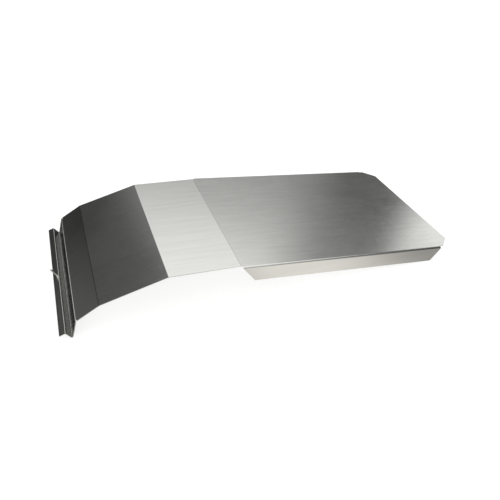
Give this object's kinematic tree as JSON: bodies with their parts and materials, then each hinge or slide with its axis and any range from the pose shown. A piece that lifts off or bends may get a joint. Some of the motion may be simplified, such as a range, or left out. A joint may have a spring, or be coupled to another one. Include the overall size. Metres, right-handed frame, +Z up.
{
  "type": "folded sheet-metal discharge slide",
  "caption": "Shallow folded steel chute with turned-down sides, a wavelike run of steeper lower panels and a hooked end with a locating pin.",
  "frame": {"origin": "centre of the bounding box's bottom face: the slide stands on the underside of the hook's groove and on the free-end corners of its two side flanges", "axes": "+X along the slide from the hook towards the deck's free edge, +Y across it, +Z up"},
  "size_m": [0.6262, 0.2752, 0.07],
  "materials": {
    "slide_sheet": "brushed",
    "hook_strip": "brushed",
    "locating_pin": "turned"
  },
  "bodies": {
    "root": {"slide_sheet": "slide_sheet", "hook_strip": "hook_strip", "locating_pin": "locating_pin"}
  },
  "joints": []
}
